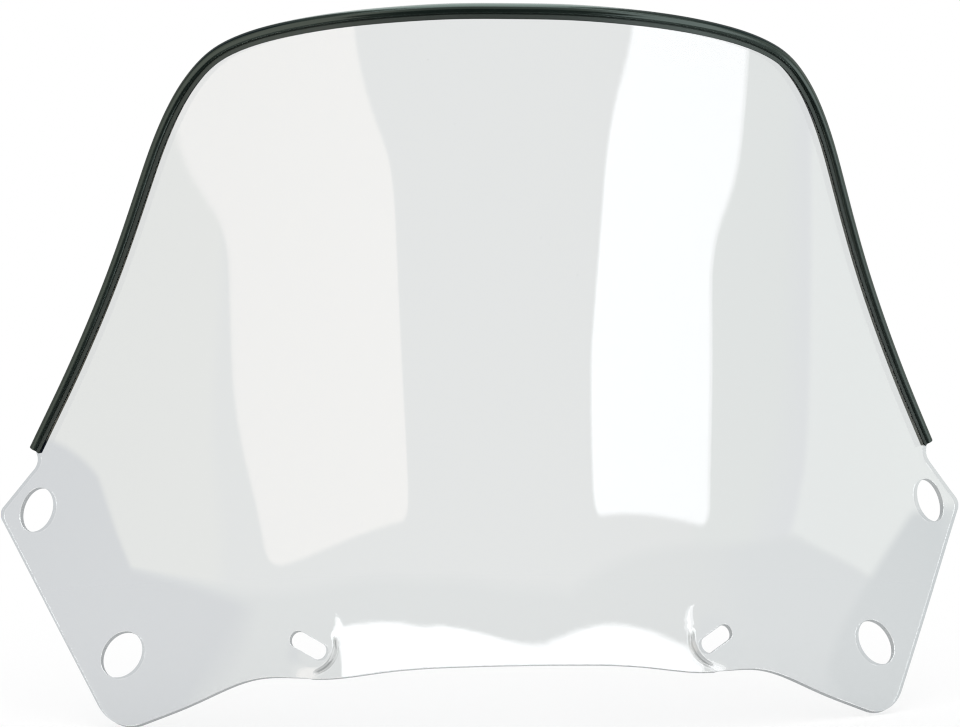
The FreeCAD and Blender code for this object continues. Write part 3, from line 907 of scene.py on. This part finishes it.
def studio(az, el):
    """Brightness of the studio in that direction, as (red, green, blue)."""
    glow = np.ones(az.shape + (3,)) * np.array((1.13, 1.12, 1.02))

    def lay(mask, colour):
        nonlocal glow
        mask = np.clip(mask, 0, 1)[..., None]
        glow = glow * (1 - mask) + np.asarray(colour) * mask

    wide = np.abs(az)
    # side walls
    lay(above(az, 60, 2.0), (1.02, 1.10, 0.95))
    wall = np.interp(el, (-5, 24), (84, 75))
    lay(np.clip((az - wall + 5) / 5, 0, 1), (0.88, 0.90, 0.98))
    lay(above(az, wall, 0.8), (1.50, 1.58, 1.44))
    lay(below(az, -66, 1.5), (1.34, 1.30, 1.08))
    # dark floor in front, paler to the sides
    lay(below(el, -15, 5) * below(wide, 74, 12), (0.09, 0.10, 0.10))
    lay(below(el, -15, 6) * above(wide, 74, 12), (0.75, 0.82, 0.78))
    # dim ceiling above the walls, with darker upper corners
    ceiling = above(el, np.interp(az, (-64, -20, 20, 78, 95), (24, 27, 27, 16, 26)), 1.2)
    lay(ceiling, (0.76, 0.80, 0.72))
    lay(ceiling * above(wide, 68, 10), (0.62, 0.70, 0.70))
    corners = below(wide, 104, 8) * below(el, 44, 8)
    left_foot = np.interp(az, (-92, -84, -76, -64), (5, 12, 24, 25))
    lay(corners * below(az, -63, 3) * above(el, left_foot, 1.2), (0.08, 0.11, 0.20))
    right_foot = np.interp(az, (74, 97), (30, 15))
    lay(corners * above(az, 76, 3) * above(el, right_foot, 1.2), (0.18, 0.30, 0.32))
    # behind the part
    lay(above(wide, 118, 16), (0.50, 0.52, 0.51))
    # two side boxes and an overhead box
    lay(panel(az, el, LEFT_BOX, width=0.4), (2.4, 2.2, 1.98))
    lay(panel(az, el, RIGHT_BOX, width=0.4), (3.7, 3.7, 3.7))
    lay(panel(az, el, OVERHEAD, width=0.2), (4.4, 4.4, 4.4))
    # long ceiling lamp above the middle, dimmer toward the back of the room
    up = np.maximum(np.sin(np.radians(el)), 1e-3)
    side_slope = np.sin(np.radians(az)) * np.cos(np.radians(el)) / up
    over = np.degrees(np.arctan2(up, np.cos(np.radians(az)) * np.cos(np.radians(el))))
    level = np.interp(over, (40, 90, 105, 120, 135, 150, 170, 180),
                      (6.5, 6.5, 5.4, 4.0, 2.6, 1.4, 0.6, 0.5))
    lamp = below(np.abs(side_slope), 0.35, 0.05) * above(over, 42, 1.5) * (el > 3)
    lay(lamp, level[..., None] * np.array((0.97, 1.02, 1.0)))
    return glow


def make_dome():
    az, el = np.meshgrid(AZIMUTHS, ELEVATIONS)
    glow = studio(az, el).reshape(-1, 3)
    az, el = np.radians(az), np.radians(np.clip(el, -89.9, 89.9))
    verts = np.stack([np.sin(az) * np.cos(el), -np.cos(az) * np.cos(el), np.sin(el)], -1)
    rows, columns = az.shape
    faces = []
    for row in range(rows - 1):
        for i in range(row * columns, (row + 1) * columns - 1):
            faces.append((i, i + 1, i + columns + 1, i + columns))
    dome = build("studio_dome", verts.reshape(-1, 3) * DOME_R, faces)
    layer = dome.data.color_attributes.new("glow", "FLOAT_COLOR", "POINT")
    rgba = np.concatenate([glow, np.ones((len(glow), 1))], 1)
    layer.data.foreach_set("color", rgba.astype(np.float32).ravel())
    material, g = new_material("studio_glow")
    g.surface(g.shader("Emission", Color=g.attribute("glow", "Color"), Strength=1.0))
    material.cycles.emission_sampling = "NONE"
    dome.data.materials.append(material)
    for ray in ("camera", "diffuse", "transmission", "shadow", "volume_scatter"):
        setattr(dome, "visible_" + ray, False)
    return dome


floor = make_floor()
dome = make_dome()

# ------------------------------------------------------------------ world, camera, output look
WORLD_SEEN, WORLD_LIGHT = 1.0, 1.25  # strength to the camera, and to every other ray
EYE = (-0.11218, -1.15297, 0.18861)  # metres
EYE_BACK = unit(np.array([-0.08674, -0.99623, 0.0]))  # from the scene toward the camera
EYE_ROLL = math.radians(0.2835)


def make_world():
    world = bpy.data.worlds.new("studio")
    bpy.context.scene.world = world
    world.use_nodes = True
    g = Nodes(world.node_tree)
    is_camera = g.add("ShaderNodeLightPath", {}).outputs["Is Camera Ray"]
    strength = g.calc("MULTIPLY_ADD", is_camera, WORLD_SEEN - WORLD_LIGHT, WORLD_LIGHT)
    g.surface(g.shader("Background", Color=rgb(1.0), Strength=strength), kind="World")
    world.cycles.sampling_method = "NONE"


def make_camera():
    lens = bpy.data.cameras.new("camera")
    lens.sensor_width = 36.0
    lens.lens = 80.069
    lens.clip_start, lens.clip_end = 0.05, 200.0
    level_right, level_up = np.array([-EYE_BACK[1], EYE_BACK[0], 0.0]), np.array([0.0, 0.0, 1.0])
    right = level_right * math.cos(EYE_ROLL) - level_up * math.sin(EYE_ROLL)
    up = level_up * math.cos(EYE_ROLL) + level_right * math.sin(EYE_ROLL)
    camera = bpy.data.objects.new("camera", lens)
    bpy.context.scene.collection.objects.link(camera)
    rows = np.column_stack([right, up, EYE_BACK, EYE]).tolist()
    camera.matrix_world = Matrix(rows + [[0.0, 0.0, 0.0, 1.0]])
    bpy.context.scene.camera = camera


make_world()
make_camera()
scene = bpy.context.scene
scene.view_settings.view_transform = "Standard"
scene.view_settings.look = "None"
scene.view_settings.exposure = 0.0
scene.view_settings.gamma = 1.0
scene.cycles.transparent_max_bounces = 24
scene.cycles.max_bounces = 8
scene.cycles.filter_width = 1.2
scene.cycles.sample_clamp_indirect = 0.0
